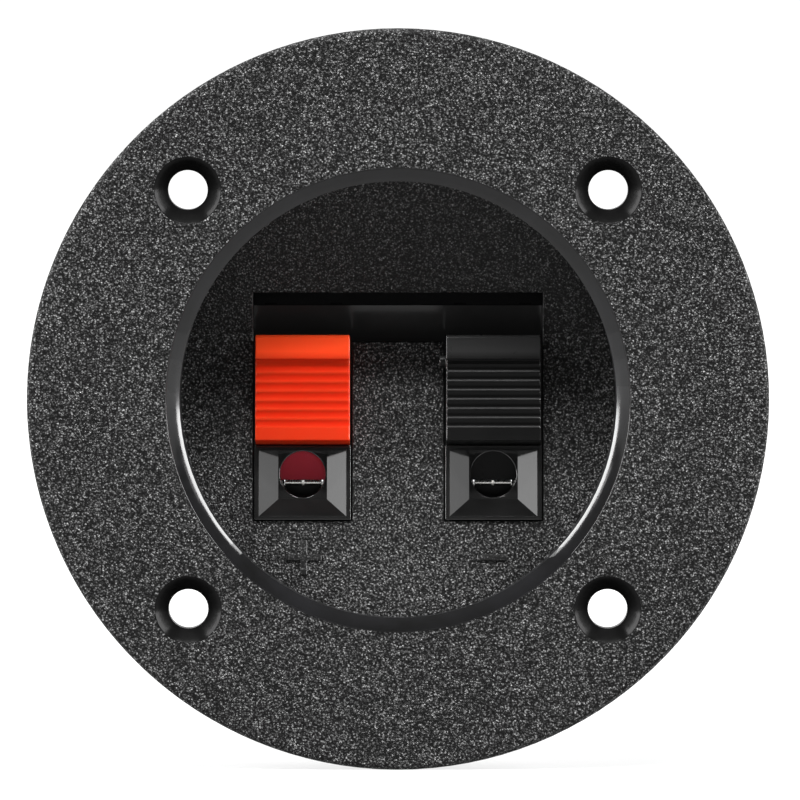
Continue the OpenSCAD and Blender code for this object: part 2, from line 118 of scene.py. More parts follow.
def soften_edges(piece, width, picked=lambda middle, edge: True, segments=4):
    """Rounds the sharp edges that picked() names, by the width given."""
    bpy.ops.object.mode_set(mode="EDIT")
    bpy.ops.mesh.select_mode(type="EDGE")
    bpy.ops.mesh.select_all(action="DESELECT")
    mesh = bmesh.from_edit_mesh(piece.data)
    for edge in mesh.edges:
        if len(edge.link_faces) == 2 and edge.calc_face_angle() > SHARP:
            middle = (edge.verts[0].co + edge.verts[1].co) / 2
            edge.select_set(bool(picked(middle, edge)))
    bmesh.update_edit_mesh(piece.data)
    bpy.ops.mesh.bevel(
        offset=width, segments=segments, affect="EDGES", clamp_overlap=False, loop_slide=False)
    bpy.ops.object.mode_set(mode="OBJECT")


def settle_shading(piece, flat_y=None):
    """Smooth rounds beside flat faces; the face at depth flat_y is parted from shallow slopes too."""
    bpy.ops.object.select_all(action="DESELECT")
    bpy.context.view_layer.objects.active = piece
    piece.select_set(True)
    bpy.ops.object.shade_smooth_by_angle(angle=SMOOTH)
    if flat_y is not None:
        depths = [abs(corner.co.y - flat_y) for corner in piece.data.vertices]
        flat_sides = Counter()
        for face in piece.data.polygons:
            if max(depths[corner] for corner in face.vertices) < ON_PLANE:
                flat_sides.update(face.edge_keys)
        for edge in piece.data.edges:
            if edge.key in flat_sides:
                edge.use_edge_sharp = flat_sides[edge.key] == 1
    bpy.ops.object.modifier_add(type="WEIGHTED_NORMAL")
    piece.modifiers[-1].keep_sharp = True
    bpy.ops.object.modifier_apply(modifier=piece.modifiers[-1].name)


def new_group(name, inputs, outputs):
    """An empty shader group with its sockets; returns the tree and its two end nodes."""
    tree = bpy.data.node_groups.new(name, "ShaderNodeTree")
    for socket, kind in inputs:
        tree.interface.new_socket(socket, in_out="INPUT", socket_type=kind)
    for socket, kind in outputs:
        tree.interface.new_socket(socket, in_out="OUTPUT", socket_type=kind)
    return tree, tree.nodes.new("NodeGroupInput"), tree.nodes.new("NodeGroupOutput")


def new_node(tree, kind, settings=None, **values):
    """A node with its settings, and the values of its unlinked sockets by name."""
    node = tree.nodes.new(kind)
    for key, value in (settings or {}).items():
        setattr(node, key, value)
    for socket, value in values.items():
        node.inputs[socket.replace("_", " ")].default_value = value
    return node


def new_material(name):
    """A material with its shader; returns the material, its tree, the shader and Object coordinates."""
    material = bpy.data.materials.new(name)
    material.use_nodes = True
    tree = material.node_tree
    place = tree.nodes.new("ShaderNodeTexCoord")
    return material, tree, tree.nodes["Principled BSDF"], place.outputs["Object"]


def remap(tree, source, low, high, out_low, out_high):
    """A value mapped from one span to another, held at its ends."""
    node = new_node(
        tree, "ShaderNodeMapRange", From_Min=low, From_Max=high, To_Min=out_low, To_Max=out_high)
    tree.links.new(source, node.inputs["Value"])
    return node.outputs["Result"]


def combine(tree, operation, first, second):
    """The result of a sum or product of two sockets, or of a socket and a number."""
    node = new_node(tree, "ShaderNodeMath", {"operation": operation})
    for slot, value in enumerate((first, second)):
        if isinstance(value, (int, float)):
            node.inputs[slot].default_value = value
        else:
            tree.links.new(value, node.inputs[slot])
    return node.outputs["Value"]


def blend_colour(tree, share, first, second):
    """A colour between two, each written out or from a socket, by a share from 0 to 1."""
    node = new_node(tree, "ShaderNodeMix", {"data_type": "RGBA"})
    for slot, colour in ((6, first), (7, second)):
        if isinstance(colour, tuple):
            node.inputs[slot].default_value = (*colour, 1)
        else:
            tree.links.new(colour, node.inputs[slot])
    tree.links.new(share, node.inputs[0])
    return node.outputs[2]


# Spark-eroded grain: rounded tops of about a quarter of a millimetre, each with a height of its own. Its tone,
# raised
# # to a power, is lightest on the highest tops; in the bright grained finishes these light tops are painted
# glints.
NOISE_SPAN = (0.3, 0.7)
TOP_REACH = 0.8
PATCH_SCALE = 0.8
SPARKLE_POWER = 2.2
grain, grain_in, grain_out = new_group(
    "moulded_grain",
    [("Position", "NodeSocketVector"), ("Grains per metre", "NodeSocketFloat")],
    [("Height", "NodeSocketFloat"), ("Tone and sparkle", "NodeSocketFloat")],
)
cells = new_node(grain, "ShaderNodeTexVoronoi", {"feature": "SMOOTH_F1"}, Smoothness=0.2)
patches = new_node(grain, "ShaderNodeTexNoise", Detail=2.0, Roughness=0.6)
for texture, share in ((cells, 1.0), (patches, PATCH_SCALE)):
    grain.links.new(grain_in.outputs["Position"], texture.inputs["Vector"])
    scale = combine(grain, "MULTIPLY", grain_in.outputs["Grains per metre"], share)
    grain.links.new(scale, texture.inputs["Scale"])
tops = remap(grain, cells.outputs["Distance"], 0.0, TOP_REACH, 1.0, 0.0)
swell = remap(grain, patches.outputs["Fac"], *NOISE_SPAN, 0.0, 1.0)
height = combine(grain, "MULTIPLY", tops, swell)
grain.links.new(height, grain_out.inputs["Height"])
grain.links.new(combine(grain, "POWER", height, SPARKLE_POWER), grain_out.inputs["Tone and sparkle"])

# Handling: faint smears and hairlines that vary the gloss of a smooth moulded face.
SPECK_SCALE = 14.0
handling, handling_in, handling_out = new_group(
    "handled_gloss",
    [("Position", "NodeSocketVector"), ("Smears per metre", "NodeSocketFloat")],
    [("Gloss", "NodeSocketFloat"), ("Height", "NodeSocketFloat")],
)
smears = new_node(handling, "ShaderNodeTexNoise", Detail=4.0, Roughness=0.65, Distortion=0.6)
specks = new_node(handling, "ShaderNodeTexNoise", Detail=3.0, Roughness=0.7)
for texture, share in ((smears, 1.0), (specks, SPECK_SCALE)):
    handling.links.new(handling_in.outputs["Position"], texture.inputs["Vector"])
    scale = combine(handling, "MULTIPLY", handling_in.outputs["Smears per metre"], share)
    handling.links.new(scale, texture.inputs["Scale"])
smeared = remap(handling, smears.outputs["Fac"], *NOISE_SPAN, 0.0, 1.0)
handling.links.new(smeared, handling_out.inputs["Gloss"])
handling.links.new(specks.outputs["Fac"], handling_out.inputs["Height"])


def smooth_plastic(name, dark, light, smooth, rough, smears_per_metre, relief, shine=0.5):
    """Moulded plastic with a plain face: its gloss and tone vary a little from handling."""
    material, tree, shader, place = new_material(name)
    shader.inputs["Specular IOR Level"].default_value = shine
    marks = new_node(tree, "ShaderNodeGroup", {"node_tree": handling})
    marks.inputs["Smears per metre"].default_value = smears_per_metre
    tree.links.new(place, marks.inputs["Position"])
    tree.links.new(blend_colour(tree, marks.outputs["Gloss"], dark, light), shader.inputs["Base Color"])
    gloss = remap(tree, marks.outputs["Gloss"], 0.0, 1.0, smooth, rough)
    tree.links.new(gloss, shader.inputs["Roughness"])
    bump = new_node(tree, "ShaderNodeBump", Strength=0.5, Distance=relief)
    tree.links.new(marks.outputs["Height"], bump.inputs["Height"])
    tree.links.new(bump.outputs["Normal"], shader.inputs["Normal"])
    return material


def grained_plastic(name, dark, light, grains_per_metre, relief, smooth, rough, shine=0.08):
    """Moulded plastic from a spark-eroded mould: grain in the relief, the tone and the gloss. Where the light
    colour is far above the dark one, the light grain tops are painted glints.
    """
    material, tree, shader, place = new_material(name)
    shader.inputs["Specular IOR Level"].default_value = shine
    texture = new_node(tree, "ShaderNodeGroup", {"node_tree": grain})
    texture.inputs["Grains per metre"].default_value = grains_per_metre
    tree.links.new(place, texture.inputs["Position"])
    tree.links.new(blend_colour(tree, texture.outputs["Tone and sparkle"], dark, light), shader.inputs["Base Color"])
    gloss = remap(tree, texture.outputs["Tone and sparkle"], 0.0, 1.0, rough, smooth)
    tree.links.new(gloss, shader.inputs["Roughness"])
    bump = new_node(tree, "ShaderNodeBump", Strength=1.0, Distance=relief)
    tree.links.new(texture.outputs["Height"], bump.inputs["Height"])
    tree.links.new(bump.outputs["Normal"], shader.inputs["Normal"])
    return material


def grey(level):
    """A colour without a hue."""
    return (level, level, level)


def add_finish(piece, material):
    """Gives the piece one more material and returns its number."""
    piece.data.materials.append(material)
    return len(piece.data.materials) - 1


def from_screw_hole(place):
    """How far a place lies from the axis of the nearest screw hole."""
    return math.hypot(abs(place.x) - COUNTERSINK_X, abs(place.z) - COUNTERSINK_X)


def is_rounded_cup_edge(middle, edge):
    """The front edges of the slot and the windows, the countersinks' mouths and the flange's edge at the rim."""
    out = math.hypot(middle.x, middle.z)
    in_front = middle.y < CREASE_BACK_Y and edge.calc_face_angle_signed() > 0
    at_step = abs(out - RIM_OUTER_R) < NEAR and middle.y < FLANGE_Y + NEAR
    at_mouth = abs(from_screw_hole(middle) - COUNTERSINK_MOUTH_R) < NEAR
    return (out < DISH_MIDDLE_R and in_front) or at_mouth or at_step


cup = solid_copy("cup", "cup_moulding")
soften_edges(cup, CUP_EDGE, is_rounded_cup_edge)
grained = add_finish(cup, grained_plastic(
    "grained_black", grey(0.006), grey(0.88), GRAINS, GRAIN_RELIEF, smooth=0.25, rough=0.5))
# Painted shade: a darker copy of the grained finish for the wall above the crease, which faces down.
painted_shade = add_finish(cup, grained_plastic(
    "painted_shade_black", grey(0.004), grey(0.55), GRAINS, GRAIN_RELIEF, smooth=0.35, rough=0.5))
# Painted glints: this finish's light grain colour stands for glints of the lamps on the rounded window edges.
painted_glint = add_finish(cup, grained_plastic(
    "painted_glint_black", grey(0.010), grey(0.50), GRAINS, GLINT_RELIEF, smooth=0.2, rough=0.35, shine=0.6))
SATIN_DARK, SATIN_LIGHT = grey(0.008), (0.013, 0.013, 0.014)
satin = add_finish(cup, smooth_plastic(
    "satin_black", SATIN_DARK, SATIN_LIGHT, 0.32, 0.44, SMEARS, SMEAR_RELIEF, shine=0.2))
# Painted shade: this dull finish, darker than the parts' own black, goes in the countersinks, the wire holes and
# below them.
dull = add_finish(cup, smooth_plastic(
    "dull_painted_shade_black", grey(0.004), grey(0.006), 0.16, 0.24, SMEARS, SMEAR_RELIEF, shine=0.05))
rim_finishes = {}
for polish in sorted({polish for _, polish in RIM_POLISH}):
    rim_finishes[polish] = add_finish(cup, smooth_plastic(
        f"rim_black_{polish}", SATIN_DARK, SATIN_LIGHT, 0.10, 0.18, SMEARS, SMEAR_RELIEF, polish / 100))

# Parts of a face's normal by which its finish is picked.
WINDOW_EDGE_NX = 0.25
WINDOW_EDGE_NY = -0.1
LEVEL_NY = 0.95
FRONT_NY = -0.2
WALL_NZ = -0.3
for face in cup.data.polygons:
    middle, normal = face.center, face.normal
    out = math.hypot(middle.x, middle.z)
    at_rim = RIM_INNER_R < out < RIM_OUTER_R + CUP_EDGE and middle.y < RIM_BACK_Y
    at_window_edge = out < DISH_MIDDLE_R and abs(normal.x) > WINDOW_EDGE_NX and normal.y < WINDOW_EDGE_NY
    in_countersink = from_screw_hole(middle) < COUNTERSINK_R and abs(normal.y) < LEVEL_NY
    if at_rim:
        polish = next(polish for low, polish in RIM_POLISH if middle.z > low * MM)
        face.material_index = rim_finishes[polish]
    # Painted glint: the bevels at the windows' sides take the glint finish.
    elif at_window_edge:
        face.material_index = painted_glint
    # Painted shade: the countersinks' cones take the darker dull finish.
    elif in_countersink:
        face.material_index = dull
    elif normal.y > FRONT_NY:
        face.material_index = satin
    # Painted shade: the downward-facing wall above the crease takes the darker copy of the grain.
    elif normal.z < WALL_NZ and middle.z > WALL_LOW:
        face.material_index = painted_shade
    else:
        face.material_index = grained
settle_shading(cup, flat_y=PANEL_Y)
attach(cup, "housing")
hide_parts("cup")

# Polarity marks: a plus and a minus that stand a little proud of the dish's floor below the wire entries.
# They are moulded with the cup, in the same plastic, with a shallower grain; their ends take the glint finish,
# whose light grain colour is a painted glint.
FLOOR_TILT = math.radians(14)
MARK_Z = -16.2 * MM
MARK_STROKE = 0.66 * MM
MARK_PROUD = 0.22 * MM
MARK_EDGE = 0.13 * MM
MARK_SUNK = 0.15 * MM
PLUS_SIZE = 3.6 * MM
MINUS_SIZE = 3.05 * MM
MARK_X = 9.55 * MM
MARK_END_NX = 0.25
ALONG = 0.9
ACROSS = [Vector((-1, 0, 0)), Vector((1, 0, 0))]
UPRIGHT = [Vector((0, 0, -1)), Vector((0, 0, 1))]
mark_black = grained_plastic(
    "mark_black", grey(0.012), grey(0.30), GRAINS, GLINT_RELIEF, smooth=0.25, rough=0.5)


def floor_mark(name, x, length, arms):
    """A raised mark on the sloped floor: a square stub whose arms are drawn out to their length."""
    bpy.ops.object.select_all(action="DESELECT")
    bpy.ops.mesh.primitive_cube_add(size=1)
    mark = bpy.context.object
    mark.name = name
    mark.scale = (MARK_STROKE, MARK_PROUD + MARK_SUNK, MARK_STROKE)
    bpy.ops.object.transform_apply(location=False, rotation=False, scale=True)
    bpy.ops.object.mode_set(mode="EDIT")
    bpy.ops.mesh.select_mode(type="FACE")
    arm = (length - MARK_STROKE) / 2
    for way in arms:
        bpy.ops.mesh.select_all(action="DESELECT")
        mesh = bmesh.from_edit_mesh(mark.data)
        for face in mesh.faces:
            at_end = face.calc_center_median().length < MARK_STROKE
            face.select_set(face.normal.dot(way) > ALONG and at_end)
        bmesh.update_edit_mesh(mark.data)
        bpy.ops.mesh.extrude_region_move(TRANSFORM_OT_translate={"value": way * arm})
    bpy.ops.object.mode_set(mode="OBJECT")
    soften_edges(mark, MARK_EDGE)
    mark.rotation_euler.x = -FLOOR_TILT
    sink = (MARK_PROUD - MARK_SUNK) / 2
    floor_y = CREASE_Y + (MARK_Z - CREASE_Z) * math.tan(FLOOR_TILT)
    mark.location = (x, floor_y - sink * math.cos(FLOOR_TILT), MARK_Z + sink * math.sin(FLOOR_TILT))
    bpy.ops.object.transform_apply(location=True, rotation=True, scale=True)
    plain = add_finish(mark, mark_black)
    painted_highlight_ends = add_finish(mark, bpy.data.materials["painted_glint_black"])
    # Painted highlight: the mark's ends take the glint finish.
    for face in mark.data.polygons:
        face.material_index = painted_highlight_ends if abs(face.normal.x) > MARK_END_NX else plain
    settle_shading(mark)
    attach(mark, "housing")


floor_mark("plus_mark", -MARK_X, PLUS_SIZE, ACROSS + UPRIGHT)
floor_mark("minus_mark", MARK_X, MINUS_SIZE, ACROSS)

# Terminal block: the insert behind the dish with the funnels, tracks and cells, in polished black plastic.
# It is screwed in from behind with the cover; its frames stand in the cup's windows with a hairline gap.
BLOCK_EDGE = 0.09 * MM
HOLE_EDGE = 0.08 * MM
HOLE_R = 2.33 * MM
HOLE_LINING_R = HOLE_R * 1.001
HOLE_CLEAR = 2.9 * MM
HOLE_NEAR = 0.03 * MM
HOLE_FRONT_Y = 5.0 * MM
POLE_X = 9.7 * MM
HOLE_Z = -7.934 * MM
FRAME_BACK_Y = 4.6 * MM
SLOT_FACE_Y = 5.5 * MM
EDGE_AREA = 0.4 * MM * MM
EDGE_NX = 0.3
FUNNEL_NY = -0.4
FUNNEL_NZ = 0.45
BLOCK_SMEARS = 210
BLOCK_RELIEF = 0.002 * MM
EDGE_SMEARS = 900
EDGE_RELIEF = 0.004 * MM


def from_wire_hole(place):
    """How far a place lies from the axis of the nearer wire hole."""
    return math.hypot(abs(place.x) - POLE_X, place.z - HOLE_Z)


def is_rounded_block_edge(middle, edge):
    """The frames' outer edges and the funnels' mouths, which are the edges that the windows show."""
    outside = from_wire_hole(middle) > HOLE_CLEAR
    return outside and middle.y < FRAME_BACK_Y and edge.calc_face_angle_signed() > 0


def is_hole_edge(middle, edge):
    """The front edge of a wire hole, in the funnel's flat bottom."""
    return abs(from_wire_hole(middle) - HOLE_R) < HOLE_NEAR and middle.y < HOLE_FRONT_Y


def is_lower_funnel_side(face):
    """The slanted side below a wire hole, which faces up into the shade of the button and takes the darker finish
    as painted shade.
    """
    below = face.center.z < HOLE_Z - HOLE_R
    return below and face.normal.z > FUNNEL_NZ and face.normal.y < FUNNEL_NY


def is_frame_edge(face):
    """The narrow rounds at the left and right of a frame and its funnel."""
    return face.area < EDGE_AREA and abs(face.normal.x) > EDGE_NX and face.center.y < FRAME_BACK_Y


block = solid_copy("terminal_block", "terminal_block_moulding")
soften_edges(block, HOLE_EDGE, is_hole_edge)
soften_edges(block, BLOCK_EDGE, is_rounded_block_edge)
add_finish(block, smooth_plastic(
    "gloss_black", grey(0.010), grey(0.014), 0.05, 0.10, BLOCK_SMEARS, BLOCK_RELIEF))
inner = add_finish(block, smooth_plastic(
    "inner_black", grey(0.030), grey(0.035), 0.16, 0.24, BLOCK_SMEARS, BLOCK_RELIEF, shine=0.2))
# Painted shade: the wire holes' linings and the funnel sides below them take the darker dull finish.
painted_shade_lining = add_finish(block, bpy.data.materials["dull_painted_shade_black"])
frame_edge = add_finish(block, smooth_plastic(
    "edge_black", grey(0.012), grey(0.020), 0.10, 0.20, EDGE_SMEARS, EDGE_RELIEF, shine=1.0))
for face in block.data.polygons:
    in_hole = from_wire_hole(face.center) < HOLE_LINING_R
    if face.center.y > SLOT_FACE_Y and face.center.z > 0:
        face.material_index = inner
    elif is_frame_edge(face) and not in_hole:
        face.material_index = frame_edge
    elif in_hole or is_lower_funnel_side(face):
        face.material_index = painted_shade_lining
settle_shading(block)
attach(block, "housing")
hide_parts("terminal_block")

# Contacts: punched strips of tin-plated brass. The slit front end lies under the button's foot, a bent leg
# sits in the block, and the tab with the solder hole comes out through the cover.
STRIP_EDGE = 0.05 * MM
STRIP_CROSS = 1.0 * MM
BURNISH = 0.17 * MM
BURNISH_FADE = 0.04 * MM
CUT_DEPTH = 0.05 * MM
CUT_FADE = 0.05 * MM
ROLLED_LINES = (9000, 900, 9000)
PLATING_RELIEF = 0.004 * MM
BROKEN_EDGE = (0.03, 0.03, 0.028)


def plated_metal(name, dark, light, smooth, rough):
    """Plated metal with the faint lines of rolling or drawing along its length."""
    material, tree, shader, place = new_material(name)
    stretch = new_node(tree, "ShaderNodeMapping", Scale=ROLLED_LINES)
    lines = new_node(tree, "ShaderNodeTexNoise", Scale=1.0, Detail=3.0)
    tree.links.new(place, stretch.inputs["Vector"])
    tree.links.new(stretch.outputs["Vector"], lines.inputs["Vector"])
    tree.links.new(blend_colour(tree, lines.outputs["Fac"], dark, light), shader.inputs["Base Color"])
    gloss = remap(tree, lines.outputs["Fac"], *NOISE_SPAN, smooth, rough)
    tree.links.new(gloss, shader.inputs["Roughness"])
    bump = new_node(tree, "ShaderNodeBump", Strength=0.05, Distance=PLATING_RELIEF)
    tree.links.new(lines.outputs["Fac"], bump.inputs["Height"])
    tree.links.new(bump.outputs["Normal"], shader.inputs["Normal"])
    shader.inputs["Metallic"].default_value = 1.0
    return material


def punched_metal(name, front_y, top_z):
    """Tinned strip whose cut front end is burnished along its upper edge and broken, dull and dark below."""
    material = plated_metal(name, (0.68, 0.67, 0.64), (0.86, 0.85, 0.82), smooth=0.18, rough=0.34)
    tree = material.node_tree
    shader = tree.nodes["Principled BSDF"]
    place = tree.nodes.new("ShaderNodeTexCoord")
    split = tree.nodes.new("ShaderNodeSeparateXYZ")
    tree.links.new(place.outputs["Object"], split.inputs["Vector"])
    burnish_low = top_z - BURNISH
    cut_back = front_y + CUT_DEPTH
    low = remap(tree, split.outputs["Z"], burnish_low - BURNISH_FADE, burnish_low, 1.0, 0.0)
    at_end = remap(tree, split.outputs["Y"], cut_back, cut_back + CUT_FADE, 1.0, 0.0)
    broken = combine(tree, "MULTIPLY", low, at_end)
    plating = shader.inputs["Base Color"].links[0].from_socket
    tree.links.new(blend_colour(tree, broken, plating, BROKEN_EDGE), shader.inputs["Base Color"])
    return material


def is_strip_cross_edge(middle, edge):
    """The straight edges that run across the strip, at its cut front end and its bends."""
    way = edge.verts[1].co - edge.verts[0].co
    return way.length > STRIP_CROSS and abs(way.normalized().x) > ALONG


strip_low, strip_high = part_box("contact_red")
tinned = punched_metal("tinned_brass", strip_low.y, strip_high.z)
for pole in ("red", "black"):
    strip = solid_copy(f"contact_{pole}", f"contact_strip_{pole}")
    soften_edges(strip, STRIP_EDGE, is_strip_cross_edge, segments=2)
    add_finish(strip, tinned)
    settle_shading(strip)
    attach(strip, "housing")
    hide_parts(f"contact_{pole}")

# Release buttons: smooth mouldings, red for the positive pole and black for the negative one. A plain shoulder
# and seven round grooves give the thumb its grip; the shank behind carries the spring's seat and the foot.
BUTTON_EDGE = 0.11 * MM
CREST = math.radians(50)
GLOW_REACH = 6.0 * MM
GROOVE_START = 0.02 * MM
GROOVE_DEPTH = 0.12 * MM
CREASE = Vector((0, CREASE_Y, CREASE_Z))
INWARD = Vector((0, math.cos(FLOOR_TILT), -math.sin(FLOOR_TILT)))
SLOPE = Vector((0, math.sin(FLOOR_TILT), math.cos(FLOOR_TILT)))
FACE_RISE = 2.3 * MM
FACE_DEPTH = CREASE.dot(INWARD) - FACE_RISE
GROOVE_FLOOR = FACE_DEPTH + GROOVE_DEPTH
SHOULDER_LOW = CREASE.dot(SLOPE) - 3.1 * MM
SHOULDER_FADE = 0.8 * MM
SIDE_EDGE_NX = (0.2, 0.97)
BUTTON_SMEARS = 260


def distance_along(tree, way):
    """How far each place of the surface lies along a direction."""
    place = tree.nodes.new("ShaderNodeTexCoord")
    node = new_node(tree, "ShaderNodeVectorMath", {"operation": "DOT_PRODUCT"})
    node.inputs[1].default_value = way
    tree.links.new(place.outputs["Object"], node.inputs[0])
    return node.outputs["Value"]


def button_plastic(name, dark, light, painted_light_shoulder, groove_shade, painted_shade_tone, shine, glow):
    """Smooth plastic with a paler shoulder as painted light, painted shade on the groove floors, and a painted
    shade tone on the parts behind the face.
    """
    material = smooth_plastic(name, dark, light, 0.27, 0.30, BUTTON_SMEARS, SMEAR_RELIEF, shine)
    tree = material.node_tree
    shader = tree.nodes["Principled BSDF"]
    shader.inputs["Subsurface Weight"].default_value = glow
    shader.inputs["Subsurface Scale"].default_value = GLOW_REACH
    depth = distance_along(tree, INWARD)
    # Painted shade: the colour darkens towards the floor of each groove.
    down_groove = remap(tree, depth, FACE_DEPTH + GROOVE_START, GROOVE_FLOOR, 0.0, 1.0)
    below_groove = remap(tree, depth, GROOVE_FLOOR, GROOVE_FLOOR + 2 * GROOVE_DEPTH, 1.0, 0.0)
    in_groove = combine(tree, "MULTIPLY", down_groove, below_groove)
    # Painted shade: the parts behind the proud face take a tone standing for the plastic in shade, crimson on the
    # red button.
    behind = remap(tree, depth, FACE_DEPTH + FACE_RISE, FACE_DEPTH + 1.5 * FACE_RISE, 0.0, 1.0)
    # Painted light: the shoulder, in the shade of the slot's roof, takes a paler colour above SHOULDER_LOW.
    painted_light_share = remap(
        tree, distance_along(tree, SLOPE), SHOULDER_LOW, SHOULDER_LOW + SHOULDER_FADE, 0.0, 1.0)
    colour = shader.inputs["Base Color"].links[0].from_socket
    for share, tone in ((in_groove, groove_shade), (painted_light_share, painted_light_shoulder), (behind, painted_shade_tone)):
        colour = blend_colour(tree, share, colour, tone)
    tree.links.new(colour, shader.inputs["Base Color"])
    return material


def button_edge_highlight_plastic(name, dark, light, shine):
    """The narrow rounds at a button's sides, polished by handling, and lighter in colour than the face as a
    painted highlight.
    """
    return smooth_plastic(name, dark, light, 0.10, 0.22, EDGE_SMEARS, EDGE_RELIEF, shine)


def is_rounded_button_edge(middle, edge):
    """All but the crests of the ribs, which stay as the round grooves leave them."""
    crosswise = abs((edge.verts[1].co - edge.verts[0].co).normalized().x) > ALONG
    return not (crosswise and edge.calc_face_angle() < CREST)


button_looks = {
    "red": button_plastic(
        "button_red", dark=(0.56, 0.029, 0.0082), light=(0.575, 0.032, 0.0091), painted_light_shoulder=(1.0, 0.070, 0.017),
        groove_shade=(0.60, 0.021, 0.006), painted_shade_tone=(1.0, 0.080, 0.120), shine=0.0, glow=0.3),
    "black": button_plastic(
        "button_black", dark=grey(0.006), light=grey(0.008), painted_light_shoulder=grey(0.028),
        groove_shade=grey(0.003), painted_shade_tone=grey(0.01), shine=0.06, glow=0.0),
}
edge_highlight_looks = {
    "red": button_edge_highlight_plastic("button_red_edge_highlight", (0.75, 0.05, 0.01), (0.85, 0.07, 0.02), shine=0.9),
    "black": button_edge_highlight_plastic("button_black_edge_highlight", grey(0.01), grey(0.02), shine=1.0),
}
for pole, look in button_looks.items():
    button = solid_copy(f"release_button_{pole}", f"button_{pole}_moulding")
    soften_edges(button, BUTTON_EDGE, is_rounded_button_edge)
    add_finish(button, look)
    side_highlight = add_finish(button, edge_highlight_looks[pole])
    for face in button.data.polygons:
        if SIDE_EDGE_NX[0] < abs(face.normal.x) < SIDE_EDGE_NX[1] and face.normal.y < FRONT_NY:
            face.material_index = side_highlight
    settle_shading(button)
    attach(button, f"button_{pole}")
    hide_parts(f"release_button_{pole}")

# Return springs: cold-wound spring wire with a closed turn at each end. Each stands on its button's seat and
# presses against the block's knee.
SPRING_IN = 5.5 * MM
SPRING_DOWN = 9.0 * MM
SPRING_SEAT = CREASE + INWARD * SPRING_IN - SLOPE * SPRING_DOWN
SPRING_LENGTH = 6.85 * MM
SPRING_WIRE = 0.4 * MM
SPRING_COIL_R = 1.6 * MM
SPRING_TURNS = 6
TURN_STEPS = 40
WIRE_SMOOTH = math.radians(50)


def coil_rise(turn):
    """Height of the wire's middle after a number of turns."""
    pitch = (SPRING_LENGTH - 3 * SPRING_WIRE) / (SPRING_TURNS - 2)
    if turn < 1:
        return SPRING_WIRE * (0.5 + turn)
    if turn > SPRING_TURNS - 1:
        return SPRING_LENGTH - SPRING_WIRE * (0.5 + SPRING_TURNS - turn)
    return SPRING_WIRE * 1.5 + pitch * (turn - 1)


spring_steel = plated_metal("spring_wire", (0.42, 0.42, 0.43), (0.6, 0.6, 0.61), smooth=0.24, rough=0.4)
for pole, side in (("red", -1), ("black", 1)):
    path = bpy.data.curves.new(f"spring_path_{pole}", "CURVE")
    path.dimensions = "3D"
    path.bevel_depth = SPRING_WIRE / 2
    path.bevel_resolution = 3
    path.use_fill_caps = True
    line = path.splines.new("POLY")
    steps = SPRING_TURNS * TURN_STEPS
    line.points.add(steps)
    seat = SPRING_SEAT + Vector((side * POLE_X, 0, 0))
    for step, point in enumerate(line.points):
        angle = math.tau * step / TURN_STEPS
        across = Vector((1, 0, 0)) * math.cos(angle) + INWARD * math.sin(angle)
        place = seat + across * SPRING_COIL_R + SLOPE * coil_rise(step / TURN_STEPS)
        point.co = (*place, 1)
    spring = bpy.data.objects.new(f"spring_{pole}_wire", path)
    bpy.context.scene.collection.objects.link(spring)
    bpy.ops.object.select_all(action="DESELECT")
    bpy.context.view_layer.objects.active = spring
    spring.select_set(True)
    bpy.ops.object.convert(target="MESH")
    spring = bpy.context.object
    bpy.ops.object.mode_set(mode="EDIT")
    bpy.ops.mesh.select_all(action="SELECT")
    bpy.ops.mesh.remove_doubles(threshold=MERGE)
    bpy.ops.mesh.normals_make_consistent(inside=False)
    bpy.ops.object.mode_set(mode="OBJECT")
    bpy.ops.object.shade_smooth_by_angle(angle=WIRE_SMOOTH)
    add_finish(spring, spring_steel)
    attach(spring, "housing")
    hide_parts(f"return_spring_{pole}")
    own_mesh(spring)

# Rear cover: a plain plate of finely grained black plastic that closes the skirt. It has a round lug at each
# screw and a slot for each solder tab.
COVER_EDGE = 0.2 * MM
COVER_FRONT_Y = 14.5 * MM
COVER_GRAINS = 5200
COVER_RELIEF = 0.02 * MM


def is_rounded_cover_edge(middle, edge):
    """The edges of the rear face, but for those too short to be rounded."""
    return middle.y > COVER_FRONT_Y and edge.calc_length() > COVER_EDGE


cover = solid_copy("rear_cover", "rear_cover_plate")
soften_edges(cover, COVER_EDGE, is_rounded_cover_edge)
add_finish(cover, grained_plastic(
    "cover_black", (0.02, 0.02, 0.021), (0.034, 0.034, 0.035), COVER_GRAINS, COVER_RELIEF, smooth=0.4, rough=0.55))
settle_shading(cover)
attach(cover, "housing")
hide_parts("rear_cover")

# Cover screws: four small pan-head screws of zinc-plated steel, each with a cross recess.
# They are driven through the cover into the cup's bosses, which holds the block as well.
SCREW_EDGE = 0.08 * MM
screws = solid_copy("cover_screws", "cover_screw_set")
soften_edges(screws, SCREW_EDGE, segments=2)
add_finish(screws, plated_metal("zinc_plated", grey(0.5), (0.66, 0.66, 0.65), smooth=0.25, rough=0.42))
settle_shading(screws)
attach(screws, "housing")
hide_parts("cover_screws")

# Studio: a pale floor, turned up at its far edges, under a long narrow lamp above, a broad and a small lamp on
# each side, a lamp behind and a weak one beside the camera. The camera stands a little above the part's axis,
# far off, as in a catalogue photograph.
FLOOR_SIZE = 5.0
FLOOR_CELLS = 8
BACKDROP_RISE = 0.35
SHADOW_R = 0.06
WHITE_R = 0.25
FLOOR_GLOW = (0.8, 1.0)
ROOM_LIGHT = 0.045
LAMP_DISTANCE = 1.2
FIELD_WIDTH = 80.75 * MM
SENSOR_WIDTH = 36
CAMERA_DISTANCE = 0.9
CAMERA_RISE = math.radians(3.6)
CAMERA_AIM = Vector((0.2 * MM, -3.0 * MM, 0.05 * MM))
CAMERA_REACH = (0.05, 40)

